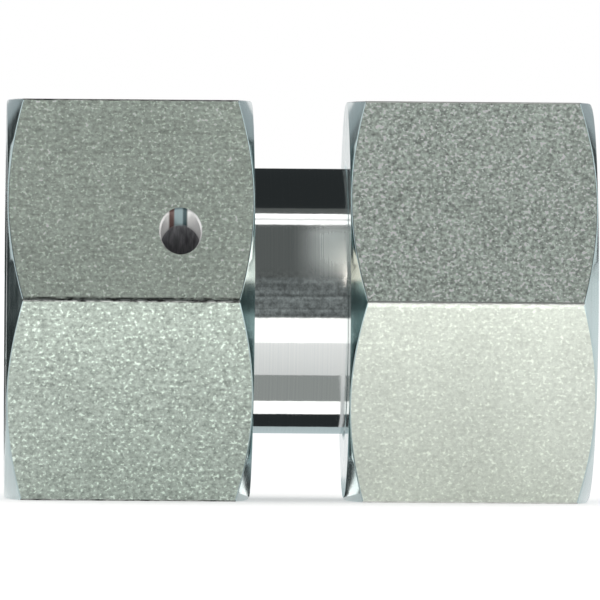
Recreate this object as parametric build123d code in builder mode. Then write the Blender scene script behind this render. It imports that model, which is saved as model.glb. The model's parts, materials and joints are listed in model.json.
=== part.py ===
from build123d import *
from math import acos, atan, cos, degrees, hypot, radians, sin, tan
import os

# Straight hydraulic adapter with a swivel nut at each end. Millimetres and degrees.
# X runs along the flow axis, +Z is up, and the origin is on the axis, midway between the nuts.
# The adapter lies on the bottom flats of its nuts, with a corner edge of each facing -Y.

# Pipe thread G 1/2 in the mouth of each nut: the rest is sized outwards and inwards from it
thread_major = 20.955
thread_depth = 1.162
mouth_margin = 0.15  # the mouth chamfer opens this far beyond the thread's roots, per side
mouth_chamfer = 30.0  # slope of the mouth chamfer from the end face
relief_width = 3.5  # runout groove behind the thread, with its ramp
relief_margin = 0.2  # depth of that groove below the thread's roots
relief_ramp = 45.0

# Hexagon nuts, turned at both ends from drawn hexagon bar of 27 mm
nut_wall = 3.0225  # from the thread's roots to the flats
hex_edge_round = 0.2  # radius along the six long edges of the bar
nut_length = 16.6
neck_length = 6.4  # polished body that shows between the nuts
face_inset = 0.12  # from the flats in to the edge of the turned end face
end_chamfer = 26.0  # slope of the end chamfers from the end face

# Body, turned from round bar of 18 mm, with a bore of 11 mm
body_margin = 0.3155  # radial, from the thread's crests in to the body
body_wall = 3.5
bore_edge = 0.3
land = 0.8  # round stretch between the wire groove and the nose
shoulder = 0.45  # edge broken at 45 degrees, where the nose begins
cone_length = 3.0
cone_half_angle = 30.0
tip_edge = 0.15

# Swivel: a thrust wire lies half in the nut and half in the body
swivel_clearance = 0.08  # radial, between the body and the nut's rear bore
rear_edge = 0.4
wire_diameter = 2.4
wire_clearance = 0.05
wire_setback = 5.0  # from the nut's rear face to the middle of the wire
wire_offset = 0.2  # from the body's surface out to the middle of the wire
collar_lip = 0.9  # nut wall between the wire groove and the thread's runout groove

# Slanted hole that the wire is fed through
hole_slack = 0.15  # radial, round the wire
hole_offset = 2.4  # from the middle of the flat towards the front corner edge
hole_lead = 1.0  # the hole's axis passes this far outside the circle of the wire
hole_edge = 0.1  # setback of the broken rim, on the flat and down the hole
wire_opening = 46.0  # degrees of the groove that the wire leaves free, behind the foot of the hole

# Seal ring in the cone
ring_section = 1.5
ring_side_gap = 0.2
ring_floor_gap = 0.02
ring_proud = 0.2  # how far the ring stands out of the cone

# Places along the axis, for the half on +X
nut_rear = neck_length / 2
nut_mouth = nut_rear + nut_length
wire_x = nut_rear + wire_setback
groove_radius = wire_diameter / 2 + wire_clearance
collar_x = wire_x + groove_radius + collar_lip
thread_end = collar_x + relief_width
shoulder_x = wire_x + groove_radius + land
cone_x = shoulder_x + shoulder
tip_x = cone_x + cone_length

# Radii
root_radius = thread_major / 2
minor_radius = root_radius - thread_depth
mouth_radius = root_radius + mouth_margin
mouth_run = (mouth_radius - minor_radius) * tan(radians(mouth_chamfer))
relief_radius = root_radius + relief_margin
relief_run = (relief_radius - minor_radius) / tan(radians(relief_ramp))
flat_radius = root_radius + nut_wall
corner_radius = flat_radius / cos(radians(30))
face_radius = flat_radius - face_inset
chamfer_run = (corner_radius - face_radius) * tan(radians(end_chamfer))
body_radius = minor_radius - body_margin
bore_radius = body_radius - body_wall
rear_radius = body_radius + swivel_clearance
wire_circle = body_radius + wire_offset
cone_slope = tan(radians(cone_half_angle))
cone_radius = body_radius - shoulder
tip_radius = cone_radius - cone_length * cone_slope

# Seal ring, midway along the cone
ring_x = tip_x - cone_length / 2
ring_inset = (ring_section / 2 - ring_proud) / cos(radians(cone_half_angle))
ring_circle = (tip_radius + cone_radius) / 2 - ring_inset
ring_floor = ring_circle - ring_section / 2 - ring_floor_gap
ring_groove_width = ring_section + 2 * ring_side_gap

# The slanted hole lies in the plane of the wire and meets the groove from outside, so that a
# wire pushed down it bends into the groove. Angles are in the YZ plane, from +Y towards +Z,
# for the nut on -X.
front_flat_angle = 150.0
mouth_distance = hypot(flat_radius, hole_offset)
mouth_angle = front_flat_angle + degrees(atan(hole_offset / flat_radius))
hole_circle = wire_circle + hole_lead
foot_angle = mouth_angle + degrees(acos(hole_circle / mouth_distance))
hole_angle = foot_angle - 90
hole_radius = wire_diameter / 2 + hole_slack
mouth_length = 2 * hole_radius / cos(radians(front_flat_angle - hole_angle))
wire_turn = 360 - wire_opening


def across_axis(radius, angle, x=0.0):
    return Vector(x, radius * cos(radians(angle)), radius * sin(radians(angle)))


hole_bottom = across_axis(hole_circle, foot_angle, -wire_x)
hole_direction = across_axis(1, hole_angle)
hole_mouth = across_axis(mouth_distance, mouth_angle, -wire_x)
flat_normal = across_axis(1, front_flat_angle)
flat_tangent = across_axis(1, front_flat_angle + 90)

# Body: one turned profile, the same at both ends
with BuildPart() as adapter_body:
    with BuildSketch(Plane.XZ):
        with BuildLine():
            Polyline(
                (0, bore_radius),
                (0, body_radius),
                (shoulder_x, body_radius),
                (cone_x, cone_radius),
                (tip_x, tip_radius),
                (tip_x, bore_radius + bore_edge),
                (tip_x - bore_edge, bore_radius),
                close=True,
            )
        body_face = make_face()
        tip_corner = body_face.vertices().sort_by(Axis.X)[-2:].sort_by(Axis.Y)[-1]
        fillet(tip_corner, tip_edge)
        with Locations((wire_x, wire_circle)):
            Circle(groove_radius, mode=Mode.SUBTRACT)
        with Locations((ring_x, ring_floor)):
            Rectangle(ring_groove_width, body_wall, align=(Align.CENTER, Align.MIN), mode=Mode.SUBTRACT)
        mirror(about=Plane.YZ)
    revolve(axis=Axis.X)
adapter_body.part.label = "adapter_body"

# Nut on -X
with BuildPart() as left_nut:
    with BuildSketch(Plane.YZ.offset(-nut_mouth)) as bar:
        RegularPolygon(flat_radius, 6, major_radius=False)
        fillet(bar.vertices(), hex_edge_round)
    extrude(amount=nut_length)

    # Turned end chamfers, which leave an arc at each end of each flat
    with BuildSketch(Plane.XZ):
        with BuildLine():
            Polyline(
                (-nut_mouth, 0),
                (-nut_mouth, face_radius),
                (-nut_mouth + chamfer_run, corner_radius),
                (-nut_rear - chamfer_run, corner_radius),
                (-nut_rear, face_radius),
                (-nut_rear, 0),
                close=True,
            )
        make_face()
    revolve(axis=Axis.X, mode=Mode.INTERSECT)

    # Mouth chamfer, thread wall, runout groove and rear bore
    with BuildSketch(Plane.XZ):
        with BuildLine():
            Polyline(
                (-nut_mouth, 0),
                (-nut_mouth, mouth_radius),
                (-nut_mouth + mouth_run, minor_radius),
                (-thread_end, minor_radius),
                (-thread_end + relief_run, relief_radius),
                (-collar_x, relief_radius),
                (-collar_x, rear_radius),
                (-nut_rear - rear_edge, rear_radius),
                (-nut_rear, rear_radius + rear_edge),
                (-nut_rear, 0),
                close=True,
            )
        make_face()
    revolve(axis=Axis.X, mode=Mode.SUBTRACT)

    # Wire groove
    with BuildSketch(Plane.XZ):
        with Locations((-wire_x, wire_circle)):
            Circle(groove_radius)
    revolve(axis=Axis.X, mode=Mode.SUBTRACT)

    # Slanted wire hole, from outside the corner of the bar down to its foot at the groove
    with BuildSketch(Plane(hole_bottom, z_dir=hole_direction)):
        Circle(hole_radius)
    extrude(amount=corner_radius, mode=Mode.SUBTRACT)

    # Its mouth is an ellipse. A funnel between two more, above and below the flat, breaks the rim
    for reach in (hole_edge, -2 * hole_edge):
        with BuildSketch(Plane(hole_mouth + hole_direction * reach, flat_tangent, flat_normal)):
            Ellipse(mouth_length / 2 + hole_edge + reach, hole_radius + hole_edge + reach)
    loft(mode=Mode.SUBTRACT)
left_nut.part.label = "left_nut"

# Thrust wire on -X: fed in all the way, it starts at the foot of the hole and lies round the groove
with BuildPart() as left_thrust_wire:
    with BuildLine(Plane.YZ.offset(-wire_x)) as wire_path:
        CenterArc((0, 0), wire_circle, foot_angle, wire_turn)
    with BuildSketch(Plane(wire_path.line @ 0, z_dir=wire_path.line % 0)):
        Circle(wire_diameter / 2)
    sweep()
left_thrust_wire.part.label = "left_thrust_wire"

# Seal ring on -X
with BuildPart() as left_o_ring:
    with BuildSketch(Plane.XZ):
        with Locations((-ring_x, ring_circle)):
            Circle(ring_section / 2)
    revolve(axis=Axis.X)
left_o_ring.part.label = "left_o_ring"

# The other end is the same, turned end for end
with BuildPart() as right_nut:
    add(left_nut.part, rotation=(0, 0, 180))
right_nut.part.label = "right_nut"

with BuildPart() as right_thrust_wire:
    add(left_thrust_wire.part, rotation=(0, 0, 180))
right_thrust_wire.part.label = "right_thrust_wire"

with BuildPart() as right_o_ring:
    add(left_o_ring.part, rotation=(0, 0, 180))
right_o_ring.part.label = "right_o_ring"

os.makedirs("parts", exist_ok=True)
export_step(adapter_body.part, "parts/adapter_body.step")
export_step(left_nut.part, "parts/left_nut.step")
export_step(right_nut.part, "parts/right_nut.step")
export_step(left_thrust_wire.part, "parts/left_thrust_wire.step")
export_step(right_thrust_wire.part, "parts/right_thrust_wire.step")
export_step(left_o_ring.part, "parts/left_o_ring.step")
export_step(right_o_ring.part, "parts/right_o_ring.step")

print(f"overall length {2 * nut_mouth:.2f}, nose tip {nut_mouth - tip_x:.2f} behind the mouth")
print(f"thread wall {thread_end:.3f} to {nut_mouth - mouth_run:.3f}, radius {minor_radius:.4f}")
print(f"hole {hole_angle - 90:.1f} degrees off vertical, wire turns {wire_turn:.1f} degrees")
print(f"seal ring {2 * ring_circle - ring_section:.2f} inside, {ring_section} section")
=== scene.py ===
# %% [markdown]
# A straight hydraulic adapter with a swivel nut at each end. It lies on the bottom flats of its two
# hexagon nuts. The body and the nuts are turned from stainless bar, and each nut is held on by a thrust
# wire that is fed into a groove through a slanted hole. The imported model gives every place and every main
# size, so the script starts from it, and each piece below is a finer mesh of the same form, in metres.

# %% Load the frame
import json
import math

import bmesh
import bpy
from mathutils import Matrix, Vector


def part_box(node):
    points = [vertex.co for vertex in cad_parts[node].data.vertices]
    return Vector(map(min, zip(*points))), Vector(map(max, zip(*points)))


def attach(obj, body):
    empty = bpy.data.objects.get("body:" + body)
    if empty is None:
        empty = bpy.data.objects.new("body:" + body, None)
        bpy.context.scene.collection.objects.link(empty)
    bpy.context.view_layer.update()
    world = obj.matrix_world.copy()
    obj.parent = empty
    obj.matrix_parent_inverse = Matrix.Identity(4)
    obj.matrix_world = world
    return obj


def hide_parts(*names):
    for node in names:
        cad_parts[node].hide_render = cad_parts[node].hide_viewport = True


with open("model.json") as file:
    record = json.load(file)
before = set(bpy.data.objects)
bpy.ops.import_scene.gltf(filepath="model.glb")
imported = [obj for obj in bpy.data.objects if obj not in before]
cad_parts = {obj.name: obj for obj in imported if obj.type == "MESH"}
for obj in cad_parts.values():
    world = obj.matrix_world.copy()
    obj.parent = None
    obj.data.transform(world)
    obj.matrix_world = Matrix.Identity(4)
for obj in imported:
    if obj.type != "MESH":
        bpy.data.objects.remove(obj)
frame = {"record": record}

MM = 0.001
AXIS = Vector((1, 0, 0))
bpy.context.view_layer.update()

# %% [markdown]
# A turned part is described by lengths along its axis and by radii. They could be typed in again, but
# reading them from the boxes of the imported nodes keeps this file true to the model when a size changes.

# %% Read the main sizes
nut_low, nut_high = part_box("left_nut")
_, body_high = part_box("adapter_body")
wire_low, wire_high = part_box("left_thrust_wire")
ring_low, ring_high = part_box("left_o_ring")
thread_mount = next(m for m in frame["record"]["mounts"] if m["name"] == "left_thread")

nut_mouth = -nut_low.x
nut_rear = -nut_high.x
flat_radius = nut_high.z
corner_radius = flat_radius / math.cos(math.radians(30))
body_radius = body_high.z
tip_x = body_high.x
wire_diameter = wire_high.x - wire_low.x
wire_x = -(wire_high.x + wire_low.x) / 2
ring_section = ring_high.x - ring_low.x
ring_x = -(ring_high.x + ring_low.x) / 2
ring_circle = ring_high.z - ring_section / 2
minor_radius = thread_mount["dims"]["r_mm"] * MM
floor_z = nut_low.z
print(f"overall {2 * nut_mouth / MM:.2f}, flats {2 * flat_radius / MM:.2f}, body {2 * body_radius / MM:.2f}")

# %% [markdown]
# The rest are the small sizes that a box can't tell: chamfers, clearances and the standard G 1/2 pipe
# thread. They are the ones of the solids.

# %% Small sizes
thread_pitch = 1.814 * MM
thread_depth = 1.162 * MM
thread_flank = math.radians(27.5)
thread_rounding = 0.249 * MM
mouth_margin = 0.15 * MM
mouth_slope = math.tan(math.radians(30))
relief_width = 3.5 * MM
relief_margin = 0.2 * MM
face_inset = 0.12 * MM
end_slope = math.tan(math.radians(26))
bar_edge_round = 0.2 * MM
swivel_clearance = 0.08 * MM
rear_edge = 0.4 * MM
wire_clearance = 0.05 * MM
wire_offset = 0.2 * MM
collar_lip = 0.9 * MM

root_radius = minor_radius + thread_depth
mouth_radius = root_radius + mouth_margin
mouth_run = (mouth_radius - minor_radius) * mouth_slope
relief_radius = root_radius + relief_margin
relief_run = relief_radius - minor_radius
face_radius = flat_radius - face_inset
rear_radius = body_radius + swivel_clearance
wire_circle = body_radius + wire_offset
groove_radius = wire_diameter / 2 + wire_clearance
collar_x = wire_x + groove_radius + collar_lip
thread_end = collar_x + relief_width

# %% [markdown]
# Every piece is handed over in the same way: its normals are made to point outwards, its mesh becomes an
# object at the origin, and it is told which moving body it belongs to, while the solid it stands for is
# hidden.

# %% Helpers that finish a piece
SHARP_ANGLE = math.radians(32)
MERGE_DISTANCE = 0.0005 * MM


def to_object(bm, name):
    bmesh.ops.remove_doubles(bm, verts=bm.verts, dist=MERGE_DISTANCE)
    bmesh.ops.recalc_face_normals(bm, faces=bm.faces)
    mesh = bpy.data.meshes.new(name)
    bm.to_mesh(mesh)
    bm.free()
    piece = bpy.data.objects.new(name, mesh)
    bpy.context.scene.collection.objects.link(piece)
    return piece


def hand_over(piece, body, node, finishes, sharp=SHARP_ANGLE):
    piece.data.shade_smooth()
    piece.data.set_sharp_from_angle(angle=sharp)
    weighted = piece.modifiers.new("weighted_normals", "WEIGHTED_NORMAL")
    weighted.mode = "FACE_AREA"
    weighted.weight = 100
    weighted.keep_sharp = True
    for finish in finishes:
        piece.data.materials.append(finish)
    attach(piece, body)
    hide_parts(node)
    triangles = sum(len(face.vertices) - 2 for face in piece.data.polygons)
    check = bmesh.new()
    check.from_mesh(piece.data)
    loose = sum(not edge.is_manifold for edge in check.edges)
    volume = check.calc_volume(signed=True) / MM**3
    check.free()
    print(f"{piece.name}: {triangles} triangles, {loose} open edges, volume {volume:.0f} cubic mm")


def outline(bm, points):
    """Draws a closed outline from (x, radius) pairs, in the plane where y is 0."""
    corners = [bm.verts.new((x, 0, radius)) for x, radius in points]
    edges = [bm.edges.new((a, b)) for a, b in zip(corners, corners[1:] + corners[:1])]
    return corners + edges


def arc(x, radius, size, start, end, steps):
    """Points of an arc in an outline, from one angle to another, in degrees from +X towards +radius."""
    angles = [math.radians(start + (end - start) * i / steps) for i in range(steps + 1)]
    return [(x + size * math.cos(a), radius + size * math.sin(a)) for a in angles]


def turn(bm, geometry, steps):
    """Turns an outline once round the flow axis."""
    bmesh.ops.spin(
        bm, geom=geometry, cent=(0, 0, 0), axis=AXIS, dvec=(0, 0, 0),
        angle=2 * math.pi, steps=steps, use_merge=True, use_duplicate=False,
    )


# %% [markdown]
# The nut starts as a ring turned on a lathe, a little larger than the corners of the hexagon. Its
# outline holds the mouth chamfer, the thread wall, the runout groove behind the thread, the wire groove
# and the two end chamfers. Spinning one closed outline gives the whole ring in one step, with its faces
# in even rows, which a stack of cylinders joined by booleans wouldn't.

# %% Turn the nut's ring
NUT_STEPS = 180
GROOVE_STEPS = 20
blank_margin = 0.5 * MM
groove_reach = math.degrees(math.acos((rear_radius - wire_circle) / groove_radius))
blank_radius = corner_radius + blank_margin
blank_run = (blank_radius - face_radius) * end_slope


def nut_ring(bm):
    mouth_side = [
        (nut_mouth, face_radius),
        (nut_mouth, mouth_radius),
        (nut_mouth - mouth_run, minor_radius),
        (thread_end, minor_radius),
        (thread_end - relief_run, relief_radius),
        (collar_x, relief_radius),
        (collar_x, rear_radius),
    ]
    wire_groove = arc(
        wire_x, wire_circle, groove_radius, 90 - groove_reach, 90 + groove_reach, GROOVE_STEPS,
    )
    rear_side = [
        (nut_rear + rear_edge, rear_radius),
        (nut_rear, rear_radius + rear_edge),
        (nut_rear, face_radius),
        (nut_rear + blank_run, blank_radius),
        (nut_mouth - blank_run, blank_radius),
    ]
    turn(bm, outline(bm, [(-x, radius) for x, radius in mouth_side + wire_groove + rear_side]), NUT_STEPS)


# %% [markdown]
# The real bar is a drawn hexagon, so its flats run the whole length and the end chamfers leave an arc at
# each end of each flat. Slicing the ring with six planes gives just those arcs, and one clean face for
# each flat. The long edges of drawn bar are slightly rounded, and a tool leaves a fine break elsewhere.

# %% Mill the flats and break the edges
FLAT_ANGLES = [30 + 60 * i for i in range(6)]
CUT_TOLERANCE = 0.00001 * MM
FLAT_TOLERANCE = 0.005 * MM
RIM_TOLERANCE = 0.002 * MM
LEAST_ARC_ANGLE = 0.6
arc_break = 0.07 * MM
rim_break = 0.05 * MM


def flat_normal(angle):
    return Vector((0, math.cos(math.radians(angle)), math.sin(math.radians(angle))))


def is_flat(face):
    return any(
        face.normal.dot(flat_normal(a)) > 0.9999
        and abs(face.calc_center_median().dot(flat_normal(a)) - flat_radius) < FLAT_TOLERANCE
        for a in FLAT_ANGLES
    )


def mill_flats(bm):
    bmesh.ops.recalc_face_normals(bm, faces=bm.faces)
    for angle in FLAT_ANGLES:
        normal = flat_normal(angle)
        cut = bmesh.ops.bisect_plane(
            bm, geom=bm.verts[:] + bm.edges[:] + bm.faces[:], dist=CUT_TOLERANCE,
            plane_co=normal * flat_radius, plane_no=normal, clear_outer=True,
        )
        rim = [item for item in cut["geom_cut"] if isinstance(item, bmesh.types.BMEdge)]
        bmesh.ops.edgeloop_fill(bm, edges=rim)
    bmesh.ops.recalc_face_normals(bm, faces=bm.faces)
    bm.normal_update()


def break_edges(bm, edges, size, segments):
    bmesh.ops.bevel(
        bm, geom=edges, offset=size, offset_type="OFFSET", segments=segments,
        profile=0.5, affect="EDGES", material=-1, clamp_overlap=True,
    )
    bm.normal_update()


def round_bar(bm):
    flats = {face for face in bm.faces if is_flat(face)}
    long_edges = [e for e in bm.edges if len(e.link_faces) == 2 and flats.issuperset(e.link_faces)]
    break_edges(bm, long_edges, bar_edge_round * math.tan(math.radians(30)), 3)
    flats = {face for face in bm.faces if is_flat(face)}
    arcs = [
        e for e in bm.edges
        if len(flats.intersection(e.link_faces)) == 1 and abs(e.calc_face_angle(0)) > LEAST_ARC_ANGLE
    ]
    break_edges(bm, arcs, arc_break, 2)
    end_rims = [
        e for e in bm.edges
        if all(abs(v.co.yz.length - face_radius) < RIM_TOLERANCE for v in e.verts)
    ]
    break_edges(bm, end_rims, rim_break, 2)
    print(f"{len(long_edges)} long edges, {len(arcs)} arc edges, {len(end_rims)} rim edges broken")


# %% [markdown]
# The thread is cut as on a machine: a tool of the Whitworth form follows a right-hand helix from outside
# the mouth into the runout groove. The tool's path is a spin with a small advance at each step. Cutting
# it from the nut lets the helix fade out in the mouth chamfer by itself.

# %% Cut the thread
THREAD_STEPS = 96
lead_in = 0.7 * thread_pitch
run_out = 0.5 * thread_pitch
thread_start = nut_mouth + lead_in
thread_stop = thread_end - relief_run - run_out
sharp_root = 0.160082 * thread_pitch  # from the rounded root out to where the flanks would meet
tool_clearance = 0.4 * MM


def thread_tool(bm):
    apex = root_radius + sharp_root
    base = minor_radius - tool_clearance
    half_base = (apex - base) * math.tan(thread_flank)
    sweep = 90 - math.degrees(thread_flank)
    crest = arc(0, root_radius - thread_rounding, thread_rounding, 90 - sweep, 90 + sweep, 4)
    points = [(half_base, base)] + crest + [(-half_base, base)]
    drawn = outline(bm, [(x - thread_start, radius) for x, radius in points])
    corners = [v for v in drawn if isinstance(v, bmesh.types.BMVert)]
    face = bm.faces.new(corners)
    turns = (thread_start - thread_stop) / thread_pitch
    steps = math.ceil(turns * THREAD_STEPS)
    bmesh.ops.spin(
        bm, geom=drawn + [face], cent=(0, 0, 0), axis=AXIS,
        dvec=((thread_start - thread_stop) / steps, 0, 0),
        angle=2 * math.pi * turns, steps=steps, use_merge=False, use_duplicate=False,
    )
    print(f"thread: {turns:.2f} turns of {thread_pitch / MM} mm")


# %% [markdown]
# The wire is fed in through a slanted hole in one flat. It is drilled in the plane of the wire groove, so
# its mouth is an ellipse. The tool is a circle laid parallel to the flat, stretched along the slant and
# extruded up the hole, with a wider rim on top that leaves a small chamfer.

# %% Drill the wire hole
hole_slack = 0.15 * MM
hole_offset = 2.4 * MM
hole_lead = 1.0 * MM
hole_edge = 0.1 * MM
HOLE_FLAT = 150
hole_radius = wire_diameter / 2 + hole_slack
hole_circle = wire_circle + hole_lead
mouth_distance = math.hypot(flat_radius, hole_offset)
mouth_angle = math.radians(HOLE_FLAT) + math.atan(hole_offset / flat_radius)
tangent_angle = mouth_angle + math.acos(hole_circle / mouth_distance)
hole_direction = Vector((0, math.sin(tangent_angle), -math.cos(tangent_angle)))
hole_mouth = Vector((-wire_x, mouth_distance * math.cos(mouth_angle), mouth_distance * math.sin(mouth_angle)))
hole_length = math.sqrt(mouth_distance**2 - hole_circle**2)


def wire_drill(bm):
    normal = flat_normal(HOLE_FLAT)
    along = AXIS.cross(normal)
    lean = abs(hole_direction.dot(normal))
    rim = bmesh.ops.create_circle(bm, cap_ends=False, radius=hole_radius, segments=64)["verts"]
    to_flat = Matrix((AXIS, along / lean, normal)).transposed().to_4x4()
    foot = Matrix.Translation(hole_mouth - hole_direction * hole_length)
    bmesh.ops.transform(bm, matrix=foot @ to_flat, verts=rim)
    rim_edges = bm.edges[:]
    moves = (
        (hole_direction * (hole_length - hole_edge / lean), 0),
        (hole_direction * hole_edge / lean, hole_edge),
        (normal * 2 * hole_edge, 0),
    )
    for move, growth in moves:
        grown = bmesh.ops.extrude_edge_only(bm, edges=rim_edges)["geom"]
        rim = [v for v in grown if isinstance(v, bmesh.types.BMVert)]
        rim_edges = [e for e in grown if isinstance(e, bmesh.types.BMEdge) and all(v in rim for v in e.verts)]
        bmesh.ops.translate(bm, verts=rim, vec=move)
        centre = sum((v.co for v in rim), Vector()) / len(rim)
        for v in rim:
            v.co += (v.co - centre).normalized() * growth
    bmesh.ops.holes_fill(bm, edges=bm.edges)
    print(f"hole: {math.degrees(math.acos(hole_direction.z)):.1f} degrees off vertical")


# %% [markdown]
# A boolean takes the helix and the hole out of the milled ring. The exact solver is slower than the
# others, but it keeps the thin crests clean.

# %% Cut one mesh from another
def cut_away(piece, make_tool):
    bm = bmesh.new()
    make_tool(bm)
    tool = to_object(bm, piece.name + "_tool")
    cut = piece.modifiers.new("cut", "BOOLEAN")
    cut.operation = "DIFFERENCE"
    cut.solver = "EXACT"
    cut.object = tool
    bpy.context.view_layer.update()
    depsgraph = bpy.context.evaluated_depsgraph_get()
    result = bpy.data.meshes.new_from_object(piece.evaluated_get(depsgraph))
    piece.modifiers.clear()
    piece.data = result
    bpy.data.objects.remove(tool)


def make_left_nut():
    bm = bmesh.new()
    nut_ring(bm)
    mill_flats(bm)
    round_bar(bm)
    nut = to_object(bm, "swivel_nut_left")
    cut_away(nut, thread_tool)
    cut_away(nut, wire_drill)
    return nut


# %% [markdown]
# Each surface of the nut shows how it was made, so its faces are sorted by place and direction: the
# drawn flats, the rounded long edges of the bar, the turned ends and bores, the thread, and the drilled
# hole. Sorting by geometry works after any cut, when the faces' order no longer says anything.

# %% Sort the nut's faces by finish
FLAT, BAR_EDGE, TURNED, THREAD, DRILLED = range(5)
hole_margin = 2.5 * hole_edge
groove_margin = 0.5 * MM
thread_margin = 0.02 * MM
thread_low = minor_radius - thread_margin
thread_high = root_radius + thread_margin


def sort_faces(nut, hole_centre, hole_axis):
    bm = bmesh.new()
    bm.from_mesh(nut.data)
    bm.normal_update()
    counts = [0] * 5
    for face in bm.faces:
        centre = face.calc_center_median()
        radius = centre.yz.length
        from_hole = (centre - hole_centre).cross(hole_axis).length
        along_hole = abs(face.normal.dot(hole_axis)) < 0.9
        if is_flat(face):
            kind = FLAT
        elif from_hole < hole_radius + hole_margin:
            kind = DRILLED if along_hole and radius > wire_circle + groove_margin else TURNED
        elif abs(face.normal.x) < 0.05 and radius > flat_radius:
            kind = BAR_EDGE
        elif thread_end < abs(centre.x) and thread_low < radius < thread_high:
            kind = THREAD
        else:
            kind = TURNED
        face.material_index = kind
        counts[kind] += 1
    bm.to_mesh(nut.data)
    bm.free()
    print(f"{nut.name}: flat, edge, turned, thread, drilled faces {counts}")


# %% [markdown]
# The body is one turned piece, the same at both ends, so half of its outline is drawn and then mirrored.
# It has a groove for each thrust wire, a cone nose with a seal groove at each end, and the flow bore.

# %% Turn the body
BODY_STEPS = 256
body_wall = 3.5 * MM
bore_edge = 0.3 * MM
land = 0.8 * MM
shoulder = 0.45 * MM
cone_length = 3.0 * MM
cone_slope = math.tan(math.radians(30))
ring_side_gap = 0.2 * MM
ring_floor_gap = 0.02 * MM
bore_radius = body_radius - body_wall
shoulder_x = wire_x + groove_radius + land
cone_x = shoulder_x + shoulder
cone_radius = body_radius - shoulder
tip_radius = cone_radius - cone_length * cone_slope
tip_edge = 0.15 * MM


def cone_at(x):
    return cone_radius - (x - cone_x) * cone_slope


def make_body():
    dip = math.degrees(math.asin(wire_offset / groove_radius))
    wire_groove = arc(wire_x, wire_circle, groove_radius, 180 + dip, 360 - dip, GROOVE_STEPS)
    seal_floor = ring_circle - ring_section / 2 - ring_floor_gap
    seal_start = ring_x - ring_section / 2 - ring_side_gap
    seal_end = ring_x + ring_section / 2 + ring_side_gap
    half = [(0.0, body_radius)] + wire_groove + [
        (shoulder_x, body_radius),
        (cone_x, cone_radius),
        (seal_start, cone_at(seal_start)),
        (seal_start, seal_floor),
        (seal_end, seal_floor),
        (seal_end, cone_at(seal_end)),
        (tip_x - tip_edge * 0.5, cone_at(tip_x - tip_edge * 0.5)),
        (tip_x, tip_radius - tip_edge * 0.4),
        (tip_x, bore_radius + bore_edge),
        (tip_x - bore_edge, bore_radius),
    ]
    other_half = [(-x, radius) for x, radius in reversed(half[1:])]
    bm = bmesh.new()
    turn(bm, outline(bm, half + other_half), BODY_STEPS)
    return to_object(bm, "turned_body")


# %% [markdown]
# The thrust wire is round spring wire, pushed down the slanted hole until all of it lies in the groove.
# It starts at the foot of the hole and stops short of it at the far end, so one spin of a circle by that
# angle makes it. Its ends are rounded, or it would scratch its way in.

# %% Wind the thrust wire
WIRE_STEPS = 150
WIRE_SIDES = 32
wire_opening = math.radians(46)
wire_turn = 2 * math.pi - wire_opening
wire_edge = 0.15 * MM


def make_left_wire():
    bm = bmesh.new()
    start = Vector((-wire_x, wire_circle * math.cos(tangent_angle), wire_circle * math.sin(tangent_angle)))
    made = bmesh.ops.create_circle(bm, cap_ends=True, radius=wire_diameter / 2, segments=WIRE_SIDES)["verts"]
    outwards = Vector((0, start.y, start.z)).normalized()
    facing = Matrix((AXIS, outwards, AXIS.cross(outwards))).transposed().to_4x4()
    bmesh.ops.transform(bm, matrix=Matrix.Translation(start) @ facing, verts=made)
    first_cap = bm.faces[:]
    bmesh.ops.spin(
        bm, geom=made + bm.edges[:] + first_cap, cent=(0, 0, 0), axis=AXIS, dvec=(0, 0, 0),
        angle=wire_turn, steps=WIRE_STEPS, use_merge=False, use_duplicate=False,
    )
    ends = [e for e in bm.edges if any(len(f.verts) == WIRE_SIDES for f in e.link_faces)]
    break_edges(bm, ends, wire_edge, 3)
    return to_object(bm, "thrust_wire_left")


# %% [markdown]
# The seal is a moulded O-ring. Where the two halves of its mould met, a fine flash line stands out round
# its inside. The outer one is trimmed off, so the section is a circle with one tiny step.

# %% Mould the seal ring
flash_height = 0.015 * MM
flash_width = 0.04 * MM
RING_STEPS = 160


def make_left_ring():
    bm = bmesh.new()
    section = []
    for x, radius in arc(-ring_x, ring_circle, ring_section / 2, 0, 360, 48)[:-1]:
        on_flash = abs(x + ring_x) < flash_width / 2 and radius < ring_circle
        section.append((x, radius - flash_height if on_flash else radius))
    turn(bm, outline(bm, section), RING_STEPS)
    return to_object(bm, "seal_ring_left")


# %% [markdown]
# The other end holds the same pieces turned end for end, so the right ones are copies turned half round
# about the vertical axis. Turned, and not mirrored: a mirrored nut would have a left-hand thread.

# %% Copy a piece to the other end
def turned_copy(piece, name):
    mesh = piece.data.copy()
    mesh.transform(Matrix.Rotation(math.pi, 4, "Z"))
    copy = bpy.data.objects.new(name, mesh)
    bpy.context.scene.collection.objects.link(copy)
    return copy


# %% [markdown]
# All the metal is bare stainless steel, and the last tool that touched a surface tells one from
# another. Each finish is a metal shader with a fine pattern in the piece's own coordinates, which drives
# a little of its colour, roughness and height. Some finishes also carry painted light and shade: the
# flats, the long edges, the polished neck and the wire hole. The helpers below build the parts that they
# share.

# %% Helpers for the finishes
def new_finish(name):
    finish = bpy.data.materials.new(name)
    finish.use_nodes = True
    shader = finish.node_tree.nodes["Principled BSDF"]
    return finish, finish.node_tree, shader


def node(tree, kind, **values):
    made = tree.nodes.new(kind)
    for name, value in values.items():
        setattr(made, name, value)
    return made


def object_place(tree, stretch=(1, 1, 1)):
    """The piece's own coordinates, in millimetres, stretched along each axis."""
    coordinates = node(tree, "ShaderNodeTexCoord")
    mapping = node(tree, "ShaderNodeMapping")
    mapping.inputs["Scale"].default_value = [s / MM for s in stretch]
    tree.links.new(coordinates.outputs["Object"], mapping.inputs["Vector"])
    return mapping.outputs["Vector"]


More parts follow.
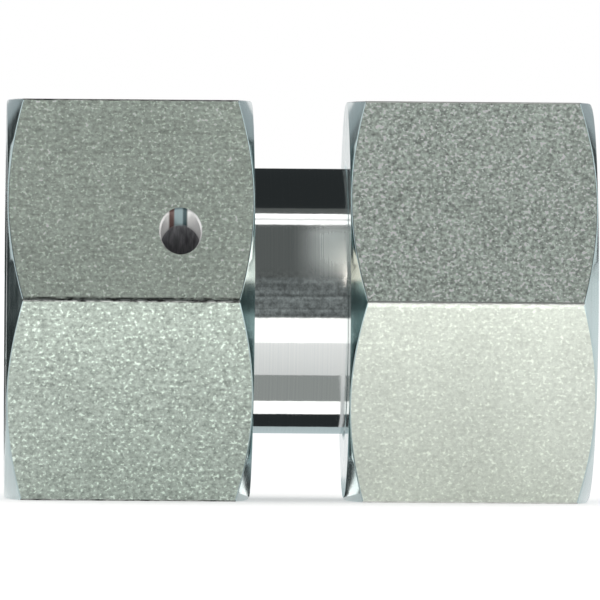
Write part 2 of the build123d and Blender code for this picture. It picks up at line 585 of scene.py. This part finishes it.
def noise(tree, place, scale, detail=2.0, rough=0.5):
    texture = node(tree, "ShaderNodeTexNoise")
    texture.inputs["Scale"].default_value = scale
    texture.inputs["Detail"].default_value = detail
    texture.inputs["Roughness"].default_value = rough
    tree.links.new(place, texture.inputs["Vector"])
    return texture.outputs["Fac"]


def spread(tree, value, low, high, to_low=0.0, to_high=1.0, smooth=False):
    """Maps a range of a value to another range, held at both ends."""
    mapped = node(tree, "ShaderNodeMapRange")
    mapped.interpolation_type = "SMOOTHSTEP" if smooth else "LINEAR"
    for socket, number in (("From Min", low), ("From Max", high), ("To Min", to_low), ("To Max", to_high)):
        mapped.inputs[socket].default_value = number
    tree.links.new(value, mapped.inputs["Value"])
    return mapped.outputs["Result"]


def blend(tree, factor, first, second):
    """Mixes two colours, or a colour and a link."""
    mix = node(tree, "ShaderNodeMix", data_type="RGBA")
    for socket, colour in ((6, first), (7, second)):
        if isinstance(colour, tuple):
            mix.inputs[socket].default_value = (*colour, 1)
        else:
            tree.links.new(colour, mix.inputs[socket])
    tree.links.new(factor, mix.inputs[0])
    return mix.outputs[2]


def calculate(tree, operation, first, second=None):
    math_node = node(tree, "ShaderNodeMath", operation=operation)
    for socket, value in zip(math_node.inputs, (first, second)):
        if isinstance(value, (int, float)):
            socket.default_value = value
        elif value is not None:
            tree.links.new(value, socket)
    return math_node.outputs["Value"]


def product(tree, *values):
    """Multiplies any number of values."""
    result = values[0]
    for value in values[1:]:
        result = calculate(tree, "MULTIPLY", result, value)
    return result


def toned(tree, colour, tone):
    """A colour times a value."""
    scaled = node(tree, "ShaderNodeVectorMath", operation="SCALE")
    tree.links.new(colour, scaled.inputs[0])
    tree.links.new(tone, scaled.inputs["Scale"])
    return scaled.outputs["Vector"]


def add_height(tree, shader, height, distance):
    bump = node(tree, "ShaderNodeBump")
    bump.inputs["Strength"].default_value = 1.0
    bump.inputs["Distance"].default_value = distance
    tree.links.new(height, bump.inputs["Height"])
    tree.links.new(bump.outputs["Normal"], shader.inputs["Normal"])


def ring_place(tree):
    """Place on a turned surface: distance along the axis and from it, in millimetres."""
    parts = node(tree, "ShaderNodeSeparateXYZ")
    tree.links.new(object_place(tree), parts.inputs[0])
    square_y = calculate(tree, "POWER", parts.outputs["Y"], 2.0)
    square_z = calculate(tree, "POWER", parts.outputs["Z"], 2.0)
    radius = calculate(tree, "SQRT", calculate(tree, "ADD", square_y, square_z))
    joined = node(tree, "ShaderNodeCombineXYZ")
    tree.links.new(parts.outputs["X"], joined.inputs["X"])
    tree.links.new(radius, joined.inputs["Y"])
    return joined.outputs["Vector"], parts


# %% [markdown]
# The flats of drawn bar are pickled: a fine crystal grain of about a fifth of a millimetre, with faint
# lines along the bar from the drawing die. The grain is drawn as bright and dark specks of colour and as
# a shallow height, so that it sparkles where the light comes in flat; the brightest specks are painted
# glints as well as grain. Each nut was cut from another bar, so the two differ in colour. On each nut the
# lower flats take another colour and grain strength than the upper ones, which is painted light and
# shade for the way the light falls on them. A line beside the front long edge is painted too: dark and
# ragged on one nut, and a bright painted highlight on the other.

# %% Drawn and pickled flats
EDGE_BLUR = 0.05


def drawn_flats(name, upper, lower, grain, lower_grain, lines, worn_low, worn_high, wear):
    """Finish of the flats. The line by the front edge, a painted highlight on one nut and dark and ragged on
    the other, lies between two heights, in millimetres.
    """
    finish, tree, shader = new_finish(name)
    place = object_place(tree)
    parts = node(tree, "ShaderNodeSeparateXYZ")
    tree.links.new(place, parts.inputs[0])
    up = parts.outputs["Z"]
    # The lower flats take another colour and grain strength than the upper ones: painted light and shade for
    # the way light falls on them.
    below = spread(tree, up, 0.12, -0.12, smooth=True)

    specks = noise(tree, place, 3.6, 2.0, 0.6)
    points = noise(tree, place, 4.6, 1.0, 0.4)
    drawn = noise(tree, object_place(tree, (0.12, 1.0, 1.0)), 5.0, 2.0)
    clouds = noise(tree, place, 0.22, 2.0)
    dull = spread(tree, specks, 0.30, 0.74, -0.8, 0.64)
    # The brightest specks lift the colour above that of any metal: they are grain and painted glints both.
    bright = spread(tree, points, 0.57, 0.73, 0.0, 1.7)
    grain_here = spread(tree, below, 0, 1, grain, lower_grain)
    light = product(tree, calculate(tree, "ADD", dull, bright), grain_here)
    streaks = spread(tree, drawn, 0.3, 0.7, -lines, lines)
    haze = spread(tree, clouds, 0.3, 0.7, -0.04, 0.04)
    tone = calculate(tree, "ADD", calculate(tree, "ADD", light, streaks), calculate(tree, "ADD", haze, 1.0))

    # A line by the front edge: a painted highlight on the right nut and a dark ragged line on the left nut.
    bites = noise(tree, object_place(tree, (0.6, 2.0, 2.0)), 2.4, 2.0)
    above_low = spread(tree, up, worn_low - EDGE_BLUR, worn_low + EDGE_BLUR)
    below_high = spread(tree, up, worn_high + EDGE_BLUR, worn_high - EDGE_BLUR)
    worn = product(tree, above_low, below_high, spread(tree, bites, 0.48, 0.62, wear, wear * 0.4))
    tone = product(tree, tone, calculate(tree, "ADD", worn, 1.0))
    tree.links.new(toned(tree, blend(tree, below, upper, lower), tone), shader.inputs["Base Color"])

    shader.inputs["Metallic"].default_value = 1.0
    fine = noise(tree, place, 9.0, 1.0)
    tree.links.new(spread(tree, fine, 0.3, 0.7, 0.42, 0.56), shader.inputs["Roughness"])
    height = calculate(tree, "ADD", specks, product(tree, drawn, 0.35))
    add_height(tree, shader, height, 0.012 * MM)
    return finish


# %% [markdown]
# The rounded long edges of the bar rubbed on the die, so they are smoother than the flats. On one nut the
# edge is ragged and dark; on the other its light colour is a painted highlight along the edge.

# %% Long edges of the bar
def bar_edges(name, colour, dark, ragged):
    finish, tree, shader = new_finish(name)
    bites = noise(tree, object_place(tree, (1.0, 2.5, 2.5)), 1.6, 3.0, 0.65)
    torn = spread(tree, bites, 0.5 - ragged, 0.5 + ragged)
    tree.links.new(blend(tree, torn, dark, colour), shader.inputs["Base Color"])
    shader.inputs["Metallic"].default_value = 1.0
    tree.links.new(spread(tree, torn, 0, 1, 0.55, 0.3), shader.inputs["Roughness"])
    add_height(tree, shader, bites, 0.02 * MM)
    return finish


# %% [markdown]
# Turned faces carry the fine spiral of the cutting tool. Noise that changes only with the distance along
# and from the axis draws such rings on cylinders, cones and end faces alike, and a second, coarser noise
# makes some rings a little duller, as a worn tool tip does.

# %% Turned faces
def turned_finish(name, colour, roughness, ring_height):
    finish, tree, shader = new_finish(name)
    place, _ = ring_place(tree)
    rings = noise(tree, place, 14.0, 2.0, 0.6)
    bands = noise(tree, place, 2.2, 2.0)
    clouds = noise(tree, object_place(tree), 0.5, 2.0)
    shade = tuple(c * 0.86 for c in colour)
    tree.links.new(blend(tree, spread(tree, bands, 0.3, 0.7), shade, colour), shader.inputs["Base Color"])
    shader.inputs["Metallic"].default_value = 1.0
    rough = calculate(
        tree, "ADD", spread(tree, bands, 0.3, 0.7, roughness * 0.8, roughness * 1.25),
        spread(tree, clouds, 0.3, 0.7, -0.03, 0.03),
    )
    tree.links.new(rough, shader.inputs["Roughness"])
    add_height(tree, shader, rings, ring_height)
    return finish


# %% [markdown]
# The body between the nuts is polished, so it mirrors the studio in long bands. Very fine rings stay in
# the polish. Two painted marks lie at its front: on the right a pale, less metallic patch, a painted
# highlight, where the surface is also rougher, and below it a band of mottled colour, a painted
# reflection of the mottled band that the mirror shows there.

# %% Polished body
def polished_body(name):
    finish, tree, shader = new_finish(name)
    place, parts = ring_place(tree)
    everywhere = object_place(tree)
    rings = noise(tree, place, 9.0, 3.0, 0.6)
    waves = noise(tree, everywhere, 0.9, 2.0)

    up = parts.outputs["Z"]
    front = spread(tree, parts.outputs["Y"], 0.0, -4.0)
    from_middle = calculate(tree, "ABSOLUTE", parts.outputs["X"])
    in_neck = spread(tree, from_middle, nut_rear / MM + 0.1, nut_rear / MM)
    # A pale, less metallic patch at the front right: a painted highlight, with a real rise in roughness.
    film = product(
        tree,
        spread(tree, parts.outputs["X"], -0.8, 2.2, smooth=True),
        spread(tree, up, 0.4, 3.4, smooth=True),
        spread(tree, up, 5.4, 4.4, smooth=True),
        front,
        spread(tree, rings, 0.3, 0.7, 0.75, 1.0),
    )
    # A band of mottled colour at the front below it: a painted reflection of the mottled band in the polish.
    strokes = noise(tree, everywhere, 3.4, 3.0, 0.6)
    wiping = product(
        tree,
        spread(tree, strokes, 0.34, 0.68, -0.34, 0.34),
        spread(tree, up, -1.3, -0.9, smooth=True),
        spread(tree, up, 2.6, 0.9, smooth=True),
        in_neck,
        front,
    )
    metal = blend(tree, spread(tree, rings, 0.3, 0.7), (0.68, 0.70, 0.70), (0.76, 0.77, 0.76))
    wiped = toned(tree, metal, calculate(tree, "ADD", wiping, 1.0))
    tree.links.new(blend(tree, film, wiped, (0.84, 0.90, 0.87)), shader.inputs["Base Color"])
    tree.links.new(spread(tree, film, 0, 1, 1.0, 0.15), shader.inputs["Metallic"])
    rough = calculate(tree, "ADD", spread(tree, rings, 0.3, 0.7, 0.045, 0.08), product(tree, film, 0.3))
    tree.links.new(rough, shader.inputs["Roughness"])
    height = calculate(tree, "ADD", product(tree, rings, 0.12), product(tree, waves, 0.5))
    add_height(tree, shader, height, 0.006 * MM)
    return finish


# %% [markdown]
# The wall of the wire hole is painted for the first millimetre below the flat with stripes along the
# hole that stand for reflections: bright at both sides, with a brown and a dark stripe beside a blue-grey
# middle. Further down the wall is painted dark with a rough mottle, as shade deep in the hole. The place
# across the hole and the depth below the flat pick the colour. Both come from unsigned coordinates, so
# one finish fits the hole of either nut.

# %% Drilled hole
burnish_start = 0.85
burnish_end = 1.0
STRIPE_BLUR = 0.04
# Colours of the painted reflections in the hole wall, from one side across.
FIRST_STRIPE = (0.96, 0.96, 0.95)
# Where each further stripe starts, as a share of the hole's radius, and its colour
NEXT_STRIPES = (
    (-0.34, (0.05, 0.09, 0.10)),
    (-0.12, (0.30, 0.40, 0.42)),
    (0.31, (0.17, 0.10, 0.09)),
    (0.57, (0.96, 0.95, 0.93)),
)


def drilled_finish(name):
    finish, tree, shader = new_finish(name)
    parts = node(tree, "ShaderNodeSeparateXYZ")
    tree.links.new(object_place(tree), parts.inputs[0])
    from_middle = calculate(tree, "ABSOLUTE", parts.outputs["X"])
    along_bar = calculate(tree, "SUBTRACT", from_middle, wire_x / MM)
    across = calculate(tree, "DIVIDE", along_bar, hole_radius / MM)
    towards_flat = calculate(
        tree, "ADD",
        product(tree, calculate(tree, "ABSOLUTE", parts.outputs["Y"]), math.cos(math.radians(30))),
        product(tree, parts.outputs["Z"], math.sin(math.radians(30))),
    )
    depth = calculate(tree, "SUBTRACT", flat_radius / MM, towards_flat)
    colour = FIRST_STRIPE
    for start, next_colour in NEXT_STRIPES:
        begun = spread(tree, across, start - STRIPE_BLUR, start + STRIPE_BLUR)
        colour = blend(tree, begun, colour, next_colour)
    marks = noise(tree, object_place(tree, (3.0, 0.6, 0.6)), 2.0, 2.0)
    # Deeper down, the wall is painted dark as shade inside the hole.
    rough_wall = blend(tree, spread(tree, marks, 0.3, 0.7), (0.10, 0.10, 0.11), (0.26, 0.26, 0.27))
    deep = spread(tree, depth, burnish_start, burnish_end)
    tree.links.new(blend(tree, deep, colour, rough_wall), shader.inputs["Base Color"])
    shader.inputs["Metallic"].default_value = 0.3
    tree.links.new(spread(tree, deep, 0, 1, 0.2, 0.5), shader.inputs["Roughness"])
    add_height(tree, shader, marks, 0.002 * MM)
    return finish


# %% [markdown]
# Spring wire is drawn through a die too, with a soap film that leaves it a shade darker than the nuts.
# The seal is black nitrile rubber: no metal, a soft gloss and a faint mottle from the mould.

# %% Spring wire and seal rubber
def spring_wire(name):
    finish, tree, shader = new_finish(name)
    film = noise(tree, object_place(tree), 1.8, 3.0)
    tree.links.new(
        blend(tree, spread(tree, film, 0.3, 0.7), (0.46, 0.46, 0.45), (0.6, 0.6, 0.59)),
        shader.inputs["Base Color"],
    )
    shader.inputs["Metallic"].default_value = 1.0
    tree.links.new(spread(tree, film, 0.3, 0.7, 0.25, 0.4), shader.inputs["Roughness"])
    add_height(tree, shader, film, 0.003 * MM)
    return finish


def seal_rubber(name):
    finish, tree, shader = new_finish(name)
    mottle = noise(tree, object_place(tree), 3.0, 3.0)
    tree.links.new(
        blend(tree, spread(tree, mottle, 0.3, 0.7), (0.018, 0.018, 0.019), (0.034, 0.034, 0.035)),
        shader.inputs["Base Color"],
    )
    tree.links.new(spread(tree, mottle, 0.3, 0.7, 0.42, 0.58), shader.inputs["Roughness"])
    add_height(tree, shader, mottle, 0.004 * MM)
    return finish


# %% [markdown]
# The two nuts differ in their flats and long edges only. Their turned, threaded and drilled faces share one
# finish each.

# %% Make the finishes
# On each nut the lower flat colour and grain differ from the upper ones as painted light and shade.
left_flats = drawn_flats(
    "left_bar_flats", upper=(0.61, 0.68, 0.61), lower=(0.48, 0.54, 0.49),
    grain=0.38, lower_grain=0.46, lines=0.09, worn_low=-0.10, worn_high=0.22, wear=-0.9,
)
right_flats = drawn_flats(
    "right_bar_flats", upper=(0.66, 0.73, 0.67), lower=(0.67, 0.71, 0.645),
    grain=0.66, lower_grain=0.18, lines=0.03, worn_low=-0.32, worn_high=-0.12, wear=0.35,
)
# The right nut's light edge colour is a painted highlight; the left nut's edge is dark and ragged.
left_edges = bar_edges("left_bar_edges", (0.5, 0.52, 0.5), (0.05, 0.05, 0.05), 0.12)
right_edges = bar_edges("right_bar_edges", (0.8, 0.82, 0.79), (0.5, 0.5, 0.48), 0.2)
nut_turning = turned_finish("nut_turning", (0.48, 0.585, 0.59), 0.16, 0.0015 * MM)
thread_turning = turned_finish("thread_turning", (0.58, 0.60, 0.60), 0.3, 0.003 * MM)
hole_drilling = drilled_finish("hole_drilling")
body_polish = polished_body("body_polish")
wire_film = spring_wire("wire_film")
ring_rubber = seal_rubber("ring_rubber")

# %% [markdown]
# Now every piece is made, and each takes the place of its solid. The finishes of a nut are listed in the
# order of the numbers by which its faces were sorted.

# %% Make the pieces
left_nut = make_left_nut()
sort_faces(left_nut, hole_mouth, hole_direction)
right_nut = turned_copy(left_nut, "swivel_nut_right")
left_wire = make_left_wire()
right_wire = turned_copy(left_wire, "thrust_wire_right")
left_ring = make_left_ring()
right_ring = turned_copy(left_ring, "seal_ring_right")
body = make_body()

hand_over(left_nut, "left_nut", "left_nut",
          [left_flats, left_edges, nut_turning, thread_turning, hole_drilling])
hand_over(right_nut, "right_nut", "right_nut",
          [right_flats, right_edges, nut_turning, thread_turning, hole_drilling])
hand_over(left_wire, "left_nut", "left_thrust_wire", [wire_film])
hand_over(right_wire, "right_nut", "right_thrust_wire", [wire_film])
hand_over(left_ring, "body", "left_o_ring", [ring_rubber])
hand_over(right_ring, "body", "right_o_ring", [ring_rubber])
hand_over(body, "body", "adapter_body", [body_polish], sharp=math.radians(12))

# %% [markdown]
# The photograph was taken with a long lens from about 0.9 m, level with the adapter and a touch to its
# left, and the adapter lies very slightly down to the right. The camera repeats that: distance, turns
# and tilt were found by fitting the outline of the solids to the outline in the photograph.

# %% Place the camera
camera_distance = 0.917
camera_yaw = 0.028
camera_pitch = 0.0043
camera_roll = 0.0075
frame_width = 40.69 * MM
aim_right = 0.1745 * MM
aim_up = 0.059 * MM
sensor_width = 36.0  # the camera's own unit, millimetres

forward = Vector((
    math.sin(camera_yaw) * math.cos(camera_pitch),
    math.cos(camera_yaw) * math.cos(camera_pitch),
    -math.sin(camera_pitch),
))
level_right = Vector((math.cos(camera_yaw), -math.sin(camera_yaw), 0))
level_up = level_right.cross(forward)
right = level_right * math.cos(camera_roll) + level_up * math.sin(camera_roll)
up = level_up * math.cos(camera_roll) - level_right * math.sin(camera_roll)

camera_data = bpy.data.cameras.new("camera")
camera_data.sensor_fit = "HORIZONTAL"
camera_data.sensor_width = sensor_width
camera_data.lens = sensor_width * camera_distance / frame_width
camera_data.clip_start = 0.05
camera_data.clip_end = 20
camera = bpy.data.objects.new("camera", camera_data)
facing = Matrix((right, up, -forward)).transposed().to_4x4()
stand = level_right * aim_right + level_up * aim_up - forward * camera_distance
camera.matrix_world = Matrix.Translation(stand) @ facing
bpy.context.scene.collection.objects.link(camera)
bpy.context.scene.camera = camera
print(f"camera lens {camera_data.lens:.0f} mm at {camera.location.to_tuple(3)}")

# %% [markdown]
# The studio is a wide white floor under a white room. The floor is a pale matt surface with a little
# light of its own for the camera and for mirror rays, so that it looks white and still shows the soft
# shadow of the adapter.

# %% Floor and room
floor_half = 6.0
floor_glow = 0.45
floor_bm = bmesh.new()
bmesh.ops.create_grid(floor_bm, x_segments=1, y_segments=1, size=floor_half)
bmesh.ops.translate(floor_bm, verts=floor_bm.verts, vec=(0, 0, floor_z))
floor = to_object(floor_bm, "floor")


def face_towards(piece, direction):
    """Turns the front of a flat piece to one side."""
    if piece.data.polygons[0].normal.dot(direction) < 0:
        piece.data.flip_normals()


face_towards(floor, Vector((0, 0, 1)))
print(f"floor at {floor_z / MM:.2f} mm")


def seen_directly(tree):
    """1 for rays from the camera and from mirrors or glass, and 0 for soft light."""
    rays = node(tree, "ShaderNodeLightPath")
    seen = calculate(tree, "MAXIMUM", rays.outputs["Is Camera Ray"], rays.outputs["Is Glossy Ray"])
    return calculate(tree, "MAXIMUM", seen, rays.outputs["Is Transmission Ray"])


def floor_paint():
    finish, tree, shader = new_finish("floor_paint")
    shader.inputs["Base Color"].default_value = (0.8, 0.8, 0.8, 1)
    shader.inputs["Roughness"].default_value = 1.0
    shader.inputs["Specular IOR Level"].default_value = 0.0
    glow = node(tree, "ShaderNodeEmission")
    glow.inputs["Color"].default_value = (1, 1, 1, 1)
    tree.links.new(product(tree, seen_directly(tree), floor_glow), glow.inputs["Strength"])
    both = node(tree, "ShaderNodeAddShader")
    tree.links.new(shader.outputs["BSDF"], both.inputs[0])
    tree.links.new(glow.outputs["Emission"], both.inputs[1])
    tree.links.new(both.outputs["Shader"], tree.nodes["Material Output"].inputs["Surface"])
    return finish


floor.data.materials.append(floor_paint())

room = bpy.data.worlds.new("room")
bpy.context.scene.world = room
room.use_nodes = True
room_light = room.node_tree.nodes["Background"]
room_light.inputs["Color"].default_value = (1, 1, 1, 1)
room_strength = spread(room.node_tree, seen_directly(room.node_tree), 0, 1, 0.8, 1.0)
room.node_tree.links.new(room_strength, room_light.inputs["Strength"])

# %% [markdown]
# A photographer shapes a mirror-bright cylinder with cards: what stands in front of and above it appears
# in it as long bands. A card here is a plain sheet that sends out one colour, dark or bright, and one of
# them is mottled to break up the reflections at the front.

# %% What a card sends out
def card_material(name, colour, strength, mottle=0.0, one_sided=False):
    """A glowing card. A one-sided one is clear from behind."""
    finish = bpy.data.materials.new(name)
    finish.use_nodes = True
    tree = finish.node_tree
    tree.nodes.remove(tree.nodes["Principled BSDF"])
    glow = node(tree, "ShaderNodeEmission")
    glow.inputs["Color"].default_value = (*colour, 1)
    glow.inputs["Strength"].default_value = strength
    if mottle:
        patches = noise(tree, object_place(tree), 0.05, 3.0, 0.6)
        uneven = spread(tree, patches, 0.35, 0.65, strength * (1 - mottle), strength * (1 + mottle))
        tree.links.new(uneven, glow.inputs["Strength"])
    shown = glow.outputs["Emission"]
    if one_sided:
        one_side = node(tree, "ShaderNodeMixShader")
        tree.links.new(node(tree, "ShaderNodeNewGeometry").outputs["Backfacing"], one_side.inputs[0])
        tree.links.new(shown, one_side.inputs[1])
        tree.links.new(node(tree, "ShaderNodeBsdfTransparent").outputs["BSDF"], one_side.inputs[2])
        shown = one_side.outputs["Shader"]
    tree.links.new(shown, tree.nodes["Material Output"].inputs["Surface"])
    return finish


# %% [markdown]
# Most cards are strips of a cylinder round the flow axis, at angles counted from the camera's side
# upwards, or lie flat on the floor. Standing ones behind the adapter darken the chamfers, and two small
# ones close to the inner ends of the nuts light the chamfers across the neck. Those two shine to one side
# only, or the nut behind each would mirror it too. Only mirror rays see the cards, so they neither darken
# the floor nor stand in any view.

# %% Shapes of cards
def stage_card(bm, name, finish):
    card = to_object(bm, name)
    card.data.materials.append(finish)
    card.visible_camera = False
    card.visible_diffuse = False
    card.visible_shadow = False
    card.visible_transmission = False
    return card


HANGING_DISTANCE = 0.30
HANGING_REACH = 0.35
STANDING_DISTANCE = 0.19
END_DISTANCE = nut_rear - 0.1 * MM
FLOOR_LIFT = 0.1 * MM


def hanging_card(name, start, end, finish, reach=HANGING_REACH):
    """A strip of a cylinder round the flow axis, between two angles from the camera's side upwards."""
    bm = bmesh.new()
    ends = [bm.verts.new((x, -HANGING_DISTANCE, 0)) for x in (-reach, reach)]
    edge = bm.edges.new(ends)
    tilt = Matrix.Rotation(-math.radians(start), 3, "X")
    bmesh.ops.rotate(bm, cent=(0, 0, 0), matrix=tilt, verts=ends)
    bmesh.ops.spin(
        bm, geom=ends + [edge], cent=(0, 0, 0), axis=-AXIS, dvec=(0, 0, 0),
        angle=math.radians(end - start), steps=24, use_merge=False, use_duplicate=False,
    )
    return stage_card(bm, name, finish)


def flat_card(name, width, depth, centre, finish, turn_by=None):
    """A rectangle that lies flat, or is turned by a matrix before it goes to its centre."""
    bm = bmesh.new()
    made = bmesh.ops.create_grid(bm, x_segments=1, y_segments=1, size=0.5)["verts"]
    bmesh.ops.scale(bm, vec=(width, depth, 1), verts=made)
    if turn_by is not None:
        bmesh.ops.rotate(bm, cent=(0, 0, 0), matrix=turn_by, verts=made)
    bmesh.ops.translate(bm, vec=centre, verts=made)
    return stage_card(bm, name, finish)


def standing_card(name, left, right, low, high, finish):
    centre = Vector(((left + right) / 2, STANDING_DISTANCE, (low + high) / 2))
    return flat_card(name, right - left, high - low, centre, finish, Matrix.Rotation(math.pi / 2, 3, "X"))


def end_card(name, along, front, back, low, high, finish):
    """A small card across the axis, close to the inner end of one nut and facing the other."""
    centre = Vector((along, (front + back) / 2, (low + high) / 2))
    across = Matrix.Rotation(math.pi / 2, 3, "Y")
    card = flat_card(name, high - low, back - front, centre, finish, across)
    face_towards(card, -along * AXIS)
    return card


def floor_card(name, left, right, front, back, finish):
    centre = Vector(((left + right) / 2, (front + back) / 2, floor_z + FLOOR_LIFT))
    return flat_card(name, right - left, back - front, centre, finish)


# %% [markdown]
# The hanging cards come in the order of their bands in the polished neck, from its middle upwards. The
# small cards under the neck make the bands of its lower half.

# %% Put up the cards
black_card = card_material("black_card", (0.85, 1.0, 1.05), 0.03)
dark_card = card_material("dark_card", (0.92, 1.0, 0.98), 0.13)
mottled_card = card_material("mottled_card", (0.9, 1.0, 1.0), 0.2, mottle=0.5)
teal_card = card_material("teal_card", (0.9, 1.0, 1.0), 0.05)
grey_card = card_material("grey_card", (0.94, 1.0, 0.97), 0.36)
steel_card = card_material("steel_card", (0.88, 0.97, 1.0), 0.5)
blue_card = card_material("blue_card", (0.82, 0.97, 1.0), 0.62)
strip_light = card_material("strip_light", (1.0, 1.0, 0.99), 1.9)
floor_light = card_material("floor_light", (1.0, 1.0, 0.98), 1.6)
end_light = card_material("end_light", (1.0, 0.92, 0.84), 2.4, one_sided=True)
cream_light = card_material("cream_light", (1.0, 0.86, 0.72), 1.4, one_sided=True)

hanging_card("front_card_low", -2.8, 20, mottled_card)
hanging_card("front_card", 20, 69.1, dark_card)
hanging_card("strip_light", 69.1, 73.3, strip_light)
hanging_card("strip_light_second", 75.7, 80.6, strip_light)
hanging_card("overhead_edge", 80.6, 87, dark_card, reach=0.055)
hanging_card("overhead_flag", 87, 168, black_card, reach=0.055)
floor_card("front_floor_flag", -0.35, 0.35, -0.30, -0.0565, mottled_card)
floor_card("front_floor_light", -0.06, 0.08, -0.0565, -0.0229, floor_light)
standing_card("left_back_flag", -0.35, -0.105, -0.013, 0.075, teal_card)
standing_card("left_back_grey", -0.105, -0.045, -0.013, 0.09, steel_card)
standing_card("right_back_flag", 0.122, 0.27, 0.02, 0.10, teal_card)
standing_card("right_back_grey", 0.045, 0.122, 0.012, 0.10, steel_card)
floor_card("left_floor_flag", -0.35, -0.037, -0.02, 0.19, teal_card)
end_card("right_end_light", END_DISTANCE, -0.013, -0.0088, 0.0018, 0.0058, end_light)
end_card("left_end_light", -END_DISTANCE, -0.013, -0.0088, 0.0018, 0.0046, cream_light)
floor_card("under_neck_grey", -0.003, 0.003, -0.0110, -0.0051, grey_card)
floor_card("under_neck_light", -0.003, 0.003, -0.0051, -0.00195, floor_light)
floor_card("under_neck_flag", -0.003, 0.003, -0.00195, 0.0034, black_card)
floor_card("under_neck_blue", -0.003, 0.005, 0.0034, 0.08, blue_card)

# %% [markdown]
# The picture keeps Blender's plain Standard view, and the room is bright enough that a colour renders
# about as it is written.

# %% Picture settings
bpy.context.scene.view_settings.view_transform = "Standard"
